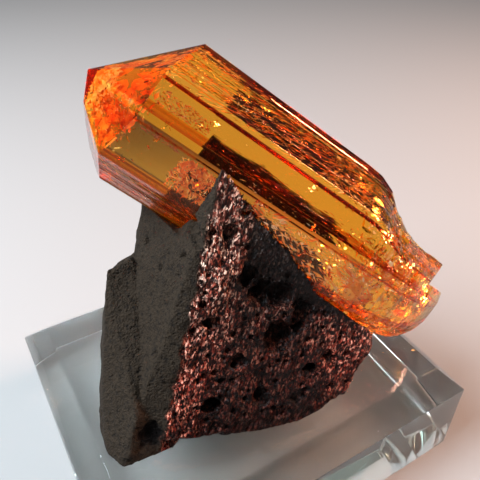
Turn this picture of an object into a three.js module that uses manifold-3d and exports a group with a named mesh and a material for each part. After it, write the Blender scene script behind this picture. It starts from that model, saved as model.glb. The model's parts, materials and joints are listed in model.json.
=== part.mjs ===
// A topaz crystal lying in a trough on a piece of dark volcanic rock, on a clear bevelled block.
// Millimetres, +Z up. The origin is the centre of the block's underside, X runs along its long side.

import * as THREE from 'three';
import { ConvexGeometry } from 'three/addons/geometries/ConvexGeometry.js';
import { TessellateModifier } from 'three/addons/modifiers/TessellateModifier.js';
import { mergeVertices } from 'three/addons/utils/BufferGeometryUtils.js';
import Module from 'manifold-3d';

const wasm = await Module();
wasm.setup();

// ---------------------------------------------------------------- driving dimensions

const GAP = 0.3; // clearance left between pieces that touch

const BLOCK = { length: 80, depth: 65, height: 25, bevel: 5 };

const CRYSTAL = {
  radius: 14.9, // of the circle through the prism's corners
  heading: -37.3, // degrees, from +X, of the way from the termination down to the base
  dip: 34.8, // degrees below the horizon
  roll: -28.5, // degrees about its own length
  foot: [-10.1, 15.0, 79.6], // where the termination starts, on the axis
  shaftEnd: 41, // length of the straight prism
  blankStart: -20, // where the prism begins before the termination is cut
};

// Corners of the prism, in degrees round the axis from the front. The face after each carries so
// many long flat ribs. The wide face at the back lies parallel to the clear one in front.
const PRISM_CORNERS = [
  { angle: 82, ribs: 8 },
  { angle: 27.7, ribs: 1 },
  { angle: 23.2, ribs: 2 },
  { angle: -0.8, ribs: 1 },
  { angle: -5.7, ribs: 4 },
  { angle: -42.8, ribs: 5 },
  { angle: -82, ribs: 2 },
  { angle: -98, ribs: 4 },
  { angle: -134, ribs: 2 },
  { angle: -203.6, ribs: 6 },
  { angle: -262, ribs: 2 },
];
const RIB_DEPTH = 0.22;
const RIB_EDGE = 0.06; // share of a rib's width at each side that joins it to the next

// Termination faces, each a plane s = start + front * f + side * p in the crystal's own frame.
const TERMINATION = [
  { start: -10.7, front: 0.73, side: 0.2 },
  { start: -10.7, front: 0.73, side: -0.1 },
  { start: -10.7, front: 0.36, side: 0.909 },
  { start: -10.7, front: -0.4, side: 1.016 },
  { start: -10.7, front: -0.73, side: -0.1 },
  { start: -10.7, front: 0, side: -0.476 },
  { start: -13.5, front: 0.22, side: -0.922 },
];

// The broken base: half-widths on the four sides at each distance along the axis.
const BASE_RINGS = [
  { s: 45, top: 14.7, bottom: 14.9, front: 14.9, back: 14.9, lump: 0.15 },
  { s: 49, top: 13.4, bottom: 14.8, front: 14.8, back: 14.2, lump: 0.35 },
  { s: 52, top: 11.4, bottom: 14.7, front: 14.6, back: 13.4, lump: 0.55 },
  { s: 55, top: 9.6, bottom: 14.5, front: 14.3, back: 12.6, lump: 0.75 },
  { s: 58, top: 8.6, bottom: 14.3, front: 13.8, back: 12.0, lump: 0.85 },
  { s: 61, top: 8.2, bottom: 13.9, front: 13.2, back: 11.4, lump: 0.9 },
  { s: 64, top: 7.9, bottom: 13.2, front: 12.2, back: 10.6, lump: 0.9 },
  { s: 66.5, top: 7.8, bottom: 12.5, front: 10.8, back: 9.6, lump: 0.8 },
  { s: 68.5, top: 7.4, bottom: 11.4, front: 9.2, back: 8.2, lump: 0.7 },
  { s: 70.3, top: 6.2, bottom: 10.0, front: 7.2, back: 6.2, lump: 0.6 },
  { s: 71.8, top: 3.8, bottom: 7.8, front: 4.6, back: 4.0, lump: 0.4 },
  { s: 72.8, top: 0.8, bottom: 5.0, front: 2.2, back: 2.0, lump: 0.2 },
];

const BASE_LENGTH = BASE_RINGS.at(-1).s - CRYSTAL.shaftEnd;
const BASE_SLANT = 0.62; // how far the front of the base falls short of its back, per millimetre
const BASE_LUMP_SIZE = 5.5;

// The step broken out of the base's upper half, as front, side and s.
const BASE_STEP = [
  [17, 2.2, 57.2], [17, 14, 57.6], [17, 2.8, 90], [17, 14, 90],
  [-17, 2.5, 79.6], [-17, 14, 80.4], [-17, 3.1, 110], [-17, 14, 110],
];

// The trough in the rock: the prism with room round it, swept out along each way (front, side)
// between two distances down the axis. The wall in front of the crystal starts where the second
// ends, which slants by so much per millimetre of side.
const TROUGH = {
  clearance: GAP + 0.05,
  reach: 90,
  waysOut: [
    { way: [0, 1], from: -30, to: 90, slant: 0 },
    { way: [1, 0], from: -30, to: 15.2, slant: -0.13 },
  ],
};

const ROCK_FOOT = BLOCK.height + GAP;
const ROCK_GRAIN = 3.5; // longest edge of the rock's facets
const ROCK_ROUGHNESS = 0.45; // how far they stray from the flat
const ROCK_LUMPS = [{ size: 3.1, share: 1 }, { size: 8, share: 0.8 }];
const ROCK_FOOT_FADE = 2; // height over which the flat underside turns rough

// Front slab: its rough front face, its smooth left face, and its back under the crystal.
const FRONT_SLAB = {
  apex: [-5.8, -6.2, 75.9],
  frontCorner: [-24.3, -15.3, 28.4],
  leftEdge: [[-13.2, 13, 61.1], [-16.9, 10, 51.9], [-21.7, -1, 40.6], [-27.3, -11, 31.5]],
  tip: [[17.3, -22.9, 41.4], [17.0, -23.7, 38.2]],
  frontFoot: [[-20, -15.9, 27.8], [-15.5, -17.6, 27.2], [-8, -20.6, 26.2], [12.2, -24.2, 28.0]],
  foot: [[-21.5, -13.4], [-13, -16.4], [-6.5, -21.2], [1, -23.3], [6.1, -23.3], [11, -22], [14.5, -19],
    [17, -9], [15, 7], [3, 19], [-12, 18], [-24, 2]],
  back: [[-11.6, 16, 58.4], [5.1, 21.9, 66.3], [8.2, 23.8, 61], [15.4, 13.9, 57], [18.4, 15.6, 52],
    [25.2, 6.2, 47.4], [26.4, 7.2, 43]],
};

// Lower slab behind the left edge, which reaches down to the block.
const LEFT_SLAB = {
  foot: [[-30.6, -15.3], [-32.4, -14.8], [-33.9, -10.8], [-33.4, -5.5], [-29, 7], [-22, 13], [-14, 10],
    [-16, -12]],
  upper: [[-27.9, -12.8, 34], [-30.2, -15, 28], [-33.1, -7.4, 28.6], [-30.4, -4, 35], [-27.8, 1.5, 39],
    [-26.1, 4, 46.2], [-23.2, 8.4, 51.8], [-20.6, 8, 52.2], [-17.6, 8.4, 53], [-15, 14, 50],
    [-22.4, -3.2, 43]],
};

// Ledge at the foot of the lower slab, which runs on under the front one.
const LEDGE = {
  foot: [[-30, -15.2], [-27.2, -15.1], [-22.6, -15.9], [-19.8, -14.4], [-18, -8], [-28, -6]],
  upper: [[-28.9, -14.2, 30], [-26.6, -14.2, 29.2], [-23.4, -15, 27.8], [-20.4, -13.6, 27], [-28, -6, 29]],
};

// Gas pockets in the rough face and a few in the smooth one: centre and radius.
const PITS = [
  { at: [-5.8, -9.3, 65.5], radius: 1.5 },
  { at: [-3.2, -9.3, 68.2], radius: 0.9 },
  { at: [-0.2, -16.8, 44.4], radius: 2.9 },
  { at: [3.6, -17.2, 45.6], radius: 1.6 },
  { at: [-4.4, -12.6, 57.2], radius: 1.7 },
  { at: [-2.4, -13.6, 53.4], radius: 2.2 },
  { at: [0.8, -14.6, 52.2], radius: 2.2 },
  { at: [4.4, -16.6, 47.6], radius: 2.0 },
  { at: [-11.6, -12.2, 49.6], radius: 1.2 },
  { at: [-12.4, -10.6, 53.4], radius: 0.9 },
  { at: [-8.6, -16.4, 41.6], radius: 1.7 },
  { at: [-5.4, -19.4, 33.0], radius: 1.9 },
  { at: [-14.6, -15.8, 33.4], radius: 1.8 },
  { at: [4.6, -21.6, 36.8], radius: 1.6 },
  { at: [8.4, -21.4, 38.6], radius: 1.3 },
  { at: [1.8, -22.4, 31.4], radius: 1.5 },
  { at: [-10.7, -3.9, 65.7], radius: 1.6 },
  { at: [-11.0, -6.2, 65.0], radius: 1.5 },
  { at: [-11.2, -7.4, 63.9], radius: 0.9 },
  { at: [-13.2, -5.5, 60.7], radius: 0.9 },
  { at: [-15.7, -0.5, 55.7], radius: 0.8 },
  { at: [-15.1, 6.5, 56.7], radius: 0.9 },
  { at: [-21.3, -8.4, 43.7], radius: 0.8 },
  { at: [-10.8, -10.2, 59.0], radius: 0.8 },
];
const PIT_SIDES = 9;
const PIT_RINGS = 6;
const PIT_STRETCH = 1.15; // a pocket is this much longer than it is wide
const PIT_TURN = { x: 1.3, y: 0.7 }; // radians that each pocket is turned from the last

// Starting numbers for the uneven shapes.
const SEEDS = { ribs: 7, base: 3, frontSlab: 11, leftSlab: 31, ledge: 51 };

const COLOURS = { topaz: '#e8761a', rock: '#3a2c27', acrylic: '#e9ecec' };

// ---------------------------------------------------------------- small helpers

const radians = THREE.MathUtils.degToRad;
const vector = ([x, y, z]) => new THREE.Vector3(x, y, z);

// A repeatable number from 0 to 1 for each cell of a grid.
function cellValue(ix, iy, iz, seed) {
  const wave = Math.sin(ix * 127.1 + iy * 311.7 + iz * 74.7 + seed * 53.3) * 43758.5453;
  return wave - Math.floor(wave);
}

// Smooth value noise, from -1 to 1, with lumps about `size` millimetres across.
function noise(point, size, seed) {
  const p = point.clone().divideScalar(size);
  const [ix, iy, iz] = [Math.floor(p.x), Math.floor(p.y), Math.floor(p.z)];
  const ease = (t) => t * t * (3 - 2 * t);
  const [fx, fy, fz] = [ease(p.x - ix), ease(p.y - iy), ease(p.z - iz)];
  let sum = 0;
  for (const dx of [0, 1]) {
    for (const dy of [0, 1]) {
      for (const dz of [0, 1]) {
        const weight = (dx ? fx : 1 - fx) * (dy ? fy : 1 - fy) * (dz ? fz : 1 - fz);
        sum += weight * cellValue(ix + dx, iy + dy, iz + dz, seed);
      }
    }
  }
  return 2 * sum - 1;
}

function toSolid(geometry) {
  const bare = geometry.clone();
  bare.deleteAttribute('normal');
  bare.deleteAttribute('uv');
  const merged = mergeVertices(bare, 1e-4);
  return new wasm.Manifold(new wasm.Mesh({
    numProp: 3,
    vertProperties: new Float32Array(merged.attributes.position.array),
    triVerts: new Uint32Array(merged.index.array),
  }));
}

function toGeometry(solid) {
  const mesh = solid.getMesh();
  const geometry = new THREE.BufferGeometry();
  geometry.setAttribute('position', new THREE.BufferAttribute(new Float32Array(mesh.vertProperties), 3));
  geometry.setIndex(new THREE.BufferAttribute(new Uint32Array(mesh.triVerts), 1));
  geometry.computeVertexNormals();
  return geometry;
}

function pieceMesh(name, geometry, material) {
  const mesh = new THREE.Mesh(geometry, new THREE.MeshStandardMaterial(material));
  mesh.name = name;
  return mesh;
}

// ---------------------------------------------------------------- the crystal's own frame

// Coordinates (front, side, s): s runs down the axis to the base, front is the face seen first,
// and side is the upper edge of that view.
function crystalFrame() {
  const heading = radians(CRYSTAL.heading);
  const dip = radians(CRYSTAL.dip);
  const along = new THREE.Vector3(
    Math.cos(dip) * Math.cos(heading), Math.cos(dip) * Math.sin(heading), -Math.sin(dip));
  const upright = new THREE.Vector3(0, 0, 1).addScaledVector(along, Math.sin(dip)).normalize();
  const side = upright.applyAxisAngle(along, radians(CRYSTAL.roll));
  const front = new THREE.Vector3().crossVectors(side, along).negate();
  return new THREE.Matrix4().makeBasis(front, side, along.clone().negate())
    .premultiply(new THREE.Matrix4().makeTranslation(...CRYSTAL.foot));
}

// In this frame z is minus s, which keeps it right-handed.
const CRYSTAL_FRAME = crystalFrame();

// ---------------------------------------------------------------- the crystal

function ribbedOutline() {
  const points = [];
  PRISM_CORNERS.forEach(({ angle, ribs }, i) => {
    const next = PRISM_CORNERS[i + 1]?.angle ?? PRISM_CORNERS[0].angle - 360;
    const start = onCircle(CRYSTAL.radius, angle);
    const end = onCircle(CRYSTAL.radius, next);
    const inward = onCircle(1, (angle + next) / 2).negate();
    for (let rib = 0; rib < ribs; rib += 1) {
      const depth = ribs > 1 ? RIB_DEPTH * cellValue(i, rib, 0, SEEDS.ribs) : 0;
      for (const t of [rib + RIB_EDGE, rib + 1 - RIB_EDGE]) {
        points.push(start.clone().lerp(end, t / ribs).addScaledVector(inward, depth));
      }
    }
  });
  return points;
}

function onCircle(radius, angle) {
  return new THREE.Vector2(radius * Math.cos(radians(angle)), radius * Math.sin(radians(angle)));
}

// The outline at a base ring: its four half-widths, then lumps, slanting more towards the end.
function baseOutline(outline, ring) {
  return outline.map((point) => {
    const front = point.x > 0 ? ring.front : ring.back;
    const side = point.y > 0 ? ring.top : ring.bottom;
    const moved = new THREE.Vector3(point.x * front, point.y * side, 0).divideScalar(CRYSTAL.radius);
    const lump = ring.lump * noise(new THREE.Vector3(moved.x, moved.y, ring.s), BASE_LUMP_SIZE, SEEDS.base);
    moved.multiplyScalar(1 + lump / CRYSTAL.radius);
    moved.z = -ring.s + BASE_SLANT * moved.x * (ring.s - CRYSTAL.shaftEnd) / BASE_LENGTH;
    return moved;
  });
}

// Rings of equal count joined by strips, closed by a fan at each end.
function loftedGeometry(rings) {
  const count = rings[0].length;
  const positions = [];
  for (const points of rings) {
    for (const { x, y, z } of points) positions.push(x, y, z);
  }
  const index = [];
  for (let ring = 0; ring + 1 < rings.length; ring += 1) {
    for (let i = 0; i < count; i += 1) {
      const j = (i + 1) % count;
      const [a, b] = [ring * count + i, ring * count + j];
      index.push(a, b, a + count, b, b + count, a + count);
    }
  }
  const last = rings.length - 1;
  for (const [ring, turned] of [[0, true], [last, false]]) {
    const centre = new THREE.Vector3();
    for (const point of rings[ring]) centre.addScaledVector(point, 1 / count);
    positions.push(centre.x, centre.y, centre.z);
    const hub = positions.length / 3 - 1;
    for (let i = 0; i < count; i += 1) {
      const [a, b] = [ring * count + i, ring * count + (i + 1) % count];
      index.push(...(turned ? [a, hub, b] : [a, b, hub]));
    }
  }
  const geometry = new THREE.BufferGeometry();
  geometry.setAttribute('position', new THREE.Float32BufferAttribute(positions, 3));
  geometry.setIndex(index);
  return geometry;
}

// A big box whose bottom face lies on a termination plane, above which nothing is left.
function terminationCutter({ start, front, side }) {
  const size = 120;
  const box = new THREE.BoxGeometry(size, size, size).translate(0, 0, size / 2);
  const normal = new THREE.Vector3(front, side, 1).normalize();
  box.applyQuaternion(new THREE.Quaternion().setFromUnitVectors(new THREE.Vector3(0, 0, 1), normal));
  return toSolid(box.translate(0, 0, -start));
}

function crystalSolid() {
  const outline = ribbedOutline();
  const ringAt = (s) => outline.map(({ x, y }) => new THREE.Vector3(x, y, -s));
  const shaft = [ringAt(CRYSTAL.blankStart), ringAt(CRYSTAL.shaftEnd)];
  const base = BASE_RINGS.map((ring) => baseOutline(outline, ring));
  let solid = toSolid(loftedGeometry([...shaft, ...base]));
  for (const plane of TERMINATION) solid = solid.subtract(terminationCutter(plane));
  return solid.subtract(baseStep());
}

function baseStep() {
  const corners = BASE_STEP.map(([front, side, s]) => new THREE.Vector3(front, side, -s));
  return toSolid(new ConvexGeometry(corners));
}

// ---------------------------------------------------------------- the rock

// A convex blank, cut into small facets that stray from the flat.
function roughBlank(corners, seed) {
  const blank = new ConvexGeometry(corners.map(vector));
  const fine = new TessellateModifier(ROCK_GRAIN, 24).modify(blank);
  const position = fine.attributes.position;
  const point = new THREE.Vector3();
  for (let i = 0; i < position.count; i += 1) {
    point.fromBufferAttribute(position, i);
    const fade = THREE.MathUtils.clamp((point.z - ROCK_FOOT) / ROCK_FOOT_FADE, 0, 1);
    const [dx, dy, dz] = [0, 2, 4].map((shift) => ROCK_LUMPS.reduce(
      (sum, { size, share }, k) => sum + share * noise(point, size, seed + shift + k), 0));
    point.addScaledVector(new THREE.Vector3(dx, dy, dz), fade * ROCK_ROUGHNESS);
    position.setXYZ(i, point.x, point.y, point.z);
  }
  return toSolid(fine);
}

function atFoot(points) {
  return points.map(([x, y]) => [x, y, ROCK_FOOT]);
}

// The crystal's own prism, a little larger, with the room beside it through which it was laid in.
function troughCutter({ way, from, to, slant }) {
  const points = [];
  for (const { angle } of PRISM_CORNERS) {
    for (const reach of [0, TROUGH.reach]) {
      const { x, y } = onCircle(CRYSTAL.radius + TROUGH.clearance, angle);
      const place = [x + reach * way[0], y + reach * way[1]];
      points.push(new THREE.Vector3(...place, -from), new THREE.Vector3(...place, -to - slant * place[1]));
    }
  }
  return toSolid(new ConvexGeometry(points).applyMatrix4(CRYSTAL_FRAME));
}

function pitCutter({ at, radius }, i) {
  const pit = new THREE.SphereGeometry(radius, PIT_SIDES, PIT_RINGS);
  pit.rotateX(i * PIT_TURN.x).rotateY(i * PIT_TURN.y).scale(1, 1, PIT_STRETCH);
  return toSolid(pit.translate(...at));
}

function rockSolid() {
  const slab = FRONT_SLAB;
  let solid = roughBlank([slab.apex, slab.frontCorner, ...slab.leftEdge, ...slab.tip, ...slab.frontFoot,
    ...atFoot(slab.foot), ...slab.back], SEEDS.frontSlab);
  solid = solid.add(roughBlank([...atFoot(LEFT_SLAB.foot), ...LEFT_SLAB.upper], SEEDS.leftSlab));
  solid = solid.add(roughBlank([...atFoot(LEDGE.foot), ...LEDGE.upper], SEEDS.ledge));
  PITS.forEach((pit, i) => { solid = solid.subtract(pitCutter(pit, i)); });
  for (const way of TROUGH.waysOut) solid = solid.subtract(troughCutter(way));
  return solid;
}

// ---------------------------------------------------------------- the block

function blockGeometry() {
  const { length, depth, height, bevel } = BLOCK;
  const corners = [];
  for (const sx of [-0.5, 0.5]) {
    for (const sy of [-0.5, 0.5]) {
      corners.push(new THREE.Vector3(sx * length, sy * depth, 0));
      corners.push(new THREE.Vector3(sx * length, sy * depth, height - bevel));
      corners.push(new THREE.Vector3(sx * (length - 2 * bevel), sy * (depth - 2 * bevel), height));
    }
  }
  return new ConvexGeometry(corners);
}

// ---------------------------------------------------------------- the part

const part = new THREE.Group();
part.add(pieceMesh('acrylic_block', blockGeometry(),
  { color: COLOURS.acrylic, roughness: 0.05, metalness: 0, transparent: true, opacity: 0.4 }));
part.add(pieceMesh('lava_rock', toGeometry(rockSolid()),
  { color: COLOURS.rock, roughness: 0.9, metalness: 0 }));
part.add(pieceMesh('topaz_crystal', toGeometry(crystalSolid()).applyMatrix4(CRYSTAL_FRAME),
  { color: COLOURS.topaz, roughness: 0.05, metalness: 0, transparent: true, opacity: 0.8 }));

export default part;
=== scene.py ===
"""A topaz crystal lying in a trough on dark volcanic rock, on a clear bevelled display block."""

import json
import math
import random

import bpy
from mathutils import Matrix, Vector, noise
from mathutils.bvhtree import BVHTree

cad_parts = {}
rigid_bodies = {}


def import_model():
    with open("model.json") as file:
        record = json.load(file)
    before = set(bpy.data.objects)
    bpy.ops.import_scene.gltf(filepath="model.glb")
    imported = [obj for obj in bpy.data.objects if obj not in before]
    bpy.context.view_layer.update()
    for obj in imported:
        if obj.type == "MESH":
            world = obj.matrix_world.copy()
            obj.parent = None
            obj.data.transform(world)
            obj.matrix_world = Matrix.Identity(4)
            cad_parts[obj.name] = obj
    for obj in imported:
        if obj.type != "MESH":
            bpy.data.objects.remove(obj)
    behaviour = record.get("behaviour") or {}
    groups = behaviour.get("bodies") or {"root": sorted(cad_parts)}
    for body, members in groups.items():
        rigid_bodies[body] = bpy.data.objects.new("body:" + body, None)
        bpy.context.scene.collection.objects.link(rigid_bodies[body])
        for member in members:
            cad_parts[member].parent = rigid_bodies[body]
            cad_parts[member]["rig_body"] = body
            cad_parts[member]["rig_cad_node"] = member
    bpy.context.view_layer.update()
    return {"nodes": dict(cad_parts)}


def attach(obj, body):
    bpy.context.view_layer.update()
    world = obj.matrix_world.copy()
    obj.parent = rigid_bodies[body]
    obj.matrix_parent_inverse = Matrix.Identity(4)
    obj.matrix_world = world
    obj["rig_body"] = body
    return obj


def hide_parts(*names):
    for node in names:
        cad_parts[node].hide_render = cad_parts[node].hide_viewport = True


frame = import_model()

# ------------------------------------------------------------------ sizes, in millimetres and degrees

MM = 0.001

# The crystal's own frame: s runs down its axis from the foot of the termination to the broken base,
# front is the side turned to the viewer, and angles round the axis start there.
CRYSTAL_RADIUS = 14.9
CRYSTAL_HEADING = -37.3  # of the way down the axis, round the vertical from +X
CRYSTAL_DIP = 34.8  # of the axis, below the level
CRYSTAL_ROLL = -28.5  # of the crystal about its axis
CRYSTAL_FOOT = Vector((-10.1, 15.0, 79.6))  # where s is 0
SHAFT_END = 41.0  # where the straight shaft ends and the broken base starts
BLANK_START = -20.0  # where the straight blank starts, before the termination is cut

# Faces of the prism: the corner where each starts, in degrees round the axis from the front, and
# the bands across it, each a share of its width and the kind of surface that grew there.
PRISM_FACES = [
    (82.0, [(1.0, "rusty")]),
    (27.7, [(1.0, "mirror")]),
    (23.2, [(0.09, "groove"), (0.64, "mirror"), (0.27, "fine")]),
    (-0.8, [(1.0, "mirror")]),
    (-5.7, [(0.1, "fine"), (0.72, "mirror"), (0.18, "fine")]),
    (-42.8, [(1.0, "rusty")]),
    (-82.0, [(1.0, "broad")]),
    (-98.0, [(1.0, "striated")]),
    (-134.0, [(1.0, "mirror")]),
    (-203.6, [(1.0, "broad")]),
    (-262.0, [(1.0, "striated")]),
]
# The ribs of each kind of surface: least and greatest width, depth, and least and greatest share
# of rust-coloured iron stain on the rib's skin.
RIBS = {
    "rusty": (0.25, 1.1, 0.16, 0.05, 0.6), "striated": (0.25, 1.1, 0.16, 0.0, 0.06),
    "fine": (0.2, 0.5, 0.06, 0.4, 1.0), "broad": (1.2, 4.0, 0.09, 0.0, 0.08),
    "mirror": (3.0, 7.0, 0.012, 0.0, 0.04), "groove": (0.2, 0.35, 0.28, 0.95, 1.0),
}
STAIN_SEED = 8
RIB_SIDE = 0.04  # share of a rib's width taken by the steep side that leads to the next
RIB_SEED = 5

# Termination planes s = start + front * f + side * p in the crystal's own frame.
TERMINATION = [
    (-10.7, 0.73, 0.2), (-10.7, 0.73, -0.1), (-10.7, 0.36, 0.909), (-10.7, -0.4, 1.016),
    (-10.7, -0.73, -0.1), (-10.7, 0.0, -0.476), (-13.5, 0.22, -0.922),
]

# The broken base: distance down the axis and the half-widths above, below, in front and behind.
BASE_WIDTHS = [
    (41.0, 14.9, 14.9, 14.9, 14.9), (45.0, 14.7, 14.9, 14.9, 14.9), (49.0, 13.4, 14.8, 14.8, 14.2),
    (52.0, 11.4, 14.7, 14.6, 13.4), (55.0, 9.6, 14.5, 14.3, 12.6), (58.0, 8.6, 14.3, 13.8, 12.0),
    (61.0, 8.2, 13.9, 13.2, 11.4), (64.0, 7.9, 13.2, 12.2, 10.6), (66.5, 7.8, 12.5, 10.8, 9.6),
    (68.5, 7.4, 11.4, 9.2, 8.2), (70.3, 6.2, 10.0, 7.2, 6.2), (71.8, 3.8, 7.8, 4.6, 4.0),
    (72.8, 0.8, 5.0, 2.2, 2.0),
]
BASE_SLANT = 0.62
BASE_RING = 0.6  # distance between the rings that carry the base's chips
BASE_STEP = [
    (17, 2.2, 57.2), (17, 14, 57.6), (17, 2.8, 90), (17, 14, 90),
    (-17, 2.5, 79.6), (-17, 14, 80.4), (-17, 3.1, 110), (-17, 14, 110),
]

TOPAZ_IOR = 1.62

CAMERA_PLACE = Vector((-42.022, -72.206, 119.259))
LAMP_PLACE = Vector((323.2, -105.0, 296.9))  # the middle of the light called lamp

# ------------------------------------------------------------------ small helpers


def linear(code):
    """An sRGB hex colour as linear red, green, blue and alpha."""
    parts = [int(code[i:i + 2], 16) / 255 for i in (1, 3, 5)]
    return [c / 12.92 if c <= 0.04045 else ((c + 0.055) / 1.055) ** 2.4 for c in parts] + [1.0]


def smooth_step(t):
    """Rises smoothly from 0 to 1 while t does."""
    t = max(0.0, min(1.0, t))
    return t * t * (3 - 2 * t)


def add_node(material, kind, inputs=None, **settings):
    """Adds a node to a material or world, with its settings, and links or fills its inputs."""
    tree = material.node_tree
    node = tree.nodes.new(kind)
    for name, value in settings.items():
        setattr(node, name, value)
    for name, value in (inputs or {}).items():
        if isinstance(value, bpy.types.NodeSocket):
            tree.links.new(value, node.inputs[name])
        else:
            node.inputs[name].default_value = value
    return node


def new_material(name):
    """A material with only its output node, and that node."""
    material = bpy.data.materials.new(name)
    material.use_nodes = True
    material.node_tree.nodes.clear()
    return material, add_node(material, "ShaderNodeOutputMaterial")


def finish_material(material, output, surface, inside=None):
    """Gives a material its surface and, if it is clear, what fills it."""
    material.node_tree.links.new(surface.outputs[0], output.inputs["Surface"])
    if inside:
        material.node_tree.links.new(inside.outputs[0], output.inputs["Volume"])
    return material


def add_ramp(material, value, steps):
    """The colour that a value gives on a ramp, from a list of position and hex colour."""
    ramp = add_node(material, "ShaderNodeValToRGB", {"Fac": value})
    elements = ramp.color_ramp.elements
    while len(elements) < len(steps):
        elements.new(0.5)
    for element, (position, code) in zip(elements, steps):
        element.position = position
        element.color = linear(code)
    return ramp.outputs[0]


def add_noise(material, place, size, detail, roughness=0.5):
    """Noise with lumps about so many millimetres across."""
    return add_node(material, "ShaderNodeTexNoise", {
        "Vector": place, "Scale": 1 / (size * MM), "Detail": detail, "Roughness": roughness})


def add_attribute(material, name):
    """A number that the mesh carries under this name."""
    return add_node(material, "ShaderNodeAttribute", attribute_name=name).outputs["Fac"]


def add_object_place(material):
    """The place of a point in its object's own coordinates."""
    return add_node(material, "ShaderNodeTexCoord").outputs["Object"]


def add_mix(material, share, first, second, **settings):
    """A mix of two colours."""
    return add_node(material, "ShaderNodeMix", {
        0: share, 6: first, 7: second}, data_type="RGBA", **settings).outputs[2]


def add_product(material, first, second):
    """Two colours multiplied."""
    return add_mix(material, 1.0, first, second, blend_type="MULTIPLY")


def deselect_all():
    """Leaves nothing selected."""
    bpy.ops.object.select_all(action="DESELECT")


def make_active(piece):
    """Makes a piece the active and only selected one."""
    deselect_all()
    piece.select_set(True)
    bpy.context.view_layer.objects.active = piece


def finish_modifier(piece, kind, **settings):
    """Adds a modifier, sets it and applies it."""
    make_active(piece)
    modifier = piece.modifiers.new(kind.lower(), kind)
    for name, value in settings.items():
        setattr(modifier, name, value)
    bpy.ops.object.modifier_apply(modifier=modifier.name)


def in_edit_mode(piece, *steps):
    """Runs edit mode steps on the whole of a piece."""
    make_active(piece)
    bpy.ops.object.mode_set(mode="EDIT")
    bpy.ops.mesh.select_all(action="SELECT")
    for step in steps:
        step()
    bpy.ops.object.mode_set(mode="OBJECT")


def copy_of_node(node, name):
    """A merged copy of a CAD node's mesh, in its place."""
    make_active(frame["nodes"][node])
    bpy.ops.object.duplicate()
    piece = bpy.context.active_object
    piece.parent = None
    piece.name = name
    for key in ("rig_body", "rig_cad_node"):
        del piece[key]
    piece.data.materials.clear()
    in_edit_mode(piece, lambda: bpy.ops.mesh.remove_doubles(threshold=1e-6))
    return piece


def dress(piece, material):
    """Gives a finished piece its material and slot and lets it ride on the one body."""
    piece.data.materials.clear()
    piece.data.materials.append(material)
    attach(piece, "root")


def stand_for(piece, node, material):
    """Puts a finished piece in its node's place."""
    dress(piece, material)
    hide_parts(node)


# ------------------------------------------------------------------ the crystal's own frame


def crystal_matrix():
    """From the crystal's own front, side and minus s, in metres, to the part's frame."""
    heading, dip = math.radians(CRYSTAL_HEADING), math.radians(CRYSTAL_DIP)
    along = Vector((math.cos(dip) * math.cos(heading), math.cos(dip) * math.sin(heading), -math.sin(dip)))
    upright = (Vector((0, 0, 1)) + along * math.sin(dip)).normalized()
    side = Matrix.Rotation(math.radians(CRYSTAL_ROLL), 3, along) @ upright
    front = -side.cross(along)
    turn = Matrix((front, side, -along)).transposed().to_4x4()
    return Matrix.Translation(CRYSTAL_FOOT * MM) @ turn


CRYSTAL_MATRIX = crystal_matrix()

# ------------------------------------------------------------------ the crystal


def on_circle(angle, radius=CRYSTAL_RADIUS):
    """The front and side of a point at an angle round the axis."""
    return Vector((radius * math.cos(math.radians(angle)), radius * math.sin(math.radians(angle))))


def crystal_outline():
    """The prism's outline and its stain: long narrow ribs, each set back and tilted a little."""
    draw = random.Random(RIB_SEED)
    draw_stain = random.Random(STAIN_SEED)
    points = []
    stains = []
    for i, (angle, bands) in enumerate(PRISM_FACES):
        start = on_circle(angle)
        end = on_circle(PRISM_FACES[(i + 1) % len(PRISM_FACES)][0])
        width = (end - start).length
        inward = -(start + end).normalized()
        place = 0.0
        for share, kind in bands:
            stop = min(width, place + share * width)
            low, high, depth, cleanest, rustiest = RIBS[kind]
            while place < stop - 1e-6:
                reach = min(stop, place + low + (high - low) * draw.random() ** 1.6)
                if stop - reach < low:
                    reach = stop
                stains += [draw_stain.uniform(cleanest, rustiest)] * 2
                for side in (RIB_SIDE, 1 - RIB_SIDE):
                    at = place + (reach - place) * side
                    fade = min(1.0, at / 0.4, (width - at) / 0.4)
                    points.append(start.lerp(end, at / width) + inward * depth * draw.random() * fade)
                place = reach
    return points, stains


def base_widths(s):
    """The half-widths of the broken base at a distance down the axis."""
    for low, high in zip(BASE_WIDTHS, BASE_WIDTHS[1:]):
        if s <= high[0]:
            t = (s - low[0]) / (high[0] - low[0])
            return [a + (b - a) * t for a, b in zip(low[1:], high[1:])]
    return list(BASE_WIDTHS[-1][1:])


def fracture(point, size, seed):
    """Height of a broken surface made of flat tilted chips about so many millimetres across."""
    place = point / size + Vector((seed, 0, 0))
    centre = noise.voronoi(place)[1][0]
    tilt = noise.cell_vector(centre * 9.7)
    return (place - centre).dot(tilt) + 0.4 * (tilt.x - 0.5)


def base_point(place):
    """Where a point of the straight blank lies once the base is broken, in millimetres."""
    s = -place.z
    if s <= SHAFT_END:
        return place
    top, bottom, front, back = base_widths(s)
    wide = front if place.x > 0 else back
    high = top if place.y > 0 else bottom
    moved = Vector((place.x * wide, place.y * high, 0)) / CRYSTAL_RADIUS
    here = Vector((moved.x, moved.y, s))
    lumps = noise.noise(here / 5.5) * 0.7 - 0.25
    chips = fracture(here, 3.4, 2) * 0.55 + fracture(here, 1.5, 8) * 0.25
    moved *= 1 + smooth_step((s - 44) / 10) * (lumps + chips) / CRYSTAL_RADIUS
    past = (s - SHAFT_END) / (BASE_WIDTHS[-1][0] - SHAFT_END)
    moved.z = -s + BASE_SLANT * moved.x * past
    return moved


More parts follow.
